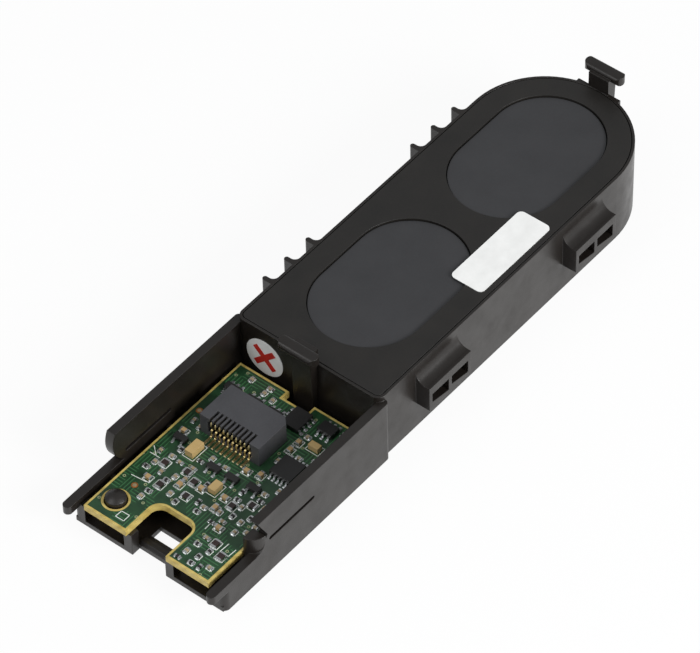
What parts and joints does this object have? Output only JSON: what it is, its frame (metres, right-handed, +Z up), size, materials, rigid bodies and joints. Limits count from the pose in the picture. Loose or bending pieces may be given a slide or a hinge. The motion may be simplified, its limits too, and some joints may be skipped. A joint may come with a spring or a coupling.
{
  "type": "raid battery module",
  "caption": "Battery module of a storage controller: moulded case with a round end, windowed lid over oval cells, side lugs and fins, and an open tray with a circuit board and cable socket.",
  "frame": {"origin": "middle of the flat base, half-way between the front of the tray and the end of the round housing", "axes": "+X along the case from the open tray to the round end, +Z up from the base to the lid, +Y to the side with the fins"},
  "size_m": [0.1485, 0.0418, 0.0223],
  "materials": {
    "case_plastic": "fine spark-eroded texture",
    "lid_plastic": "fine spark-eroded texture",
    "pad": "smooth, matt",
    "label_paper": "coated white",
    "sticker_red": "printed red",
    "board": "green solder mask",
    "socket_plastic": "moulded, matt",
    "gold_contact": "gold flash",
    "copper": "bare copper",
    "chip_plastic": "moulded, matt",
    "tin": "tinned",
    "tan_plastic": "moulded, matt",
    "resistor_ceramic": "coated ceramic",
    "capacitor_ceramic": "bare ceramic",
    "cell_can": "nickel-plated",
    "nickel_strip": "nickel",
    "insulating_paper": "plain",
    "sensor_bead": "dipped bead"
  },
  "bodies": {
    "root": {"lower_case": "case_plastic", "lid": "lid_plastic", "pad_front": "pad", "pad_rear": "pad", "label": "label_paper", "sticker": "label_paper", "sticker_cross": "sticker_red", "circuit_board": "board", "test_pads": "copper", "socket_body": "socket_plastic", "socket_upper_contacts": "gold_contact", "socket_lower_contacts": "gold_contact", "main_chip": "chip_plastic", "main_chip_leads": "tin", "small_chips": "chip_plastic", "small_chip_leads": "tin", "transistors": "chip_plastic", "transistor_leads": "tin", "tantalum_capacitors": "tan_plastic", "chip_resistors": "resistor_ceramic", "chip_capacitors": "capacitor_ceramic", "solder_ends": "tin", "cell_front_lower": "cell_can", "cell_front_upper": "cell_can", "cell_rear_lower": "cell_can", "cell_rear_upper": "cell_can", "front_link": "nickel_strip", "rear_link": "nickel_strip", "series_link": "nickel_strip", "positive_strip": "nickel_strip", "negative_strip": "nickel_strip", "insulating_sheet": "insulating_paper", "thermal_sensor": "sensor_bead"}
  },
  "joints": []
}
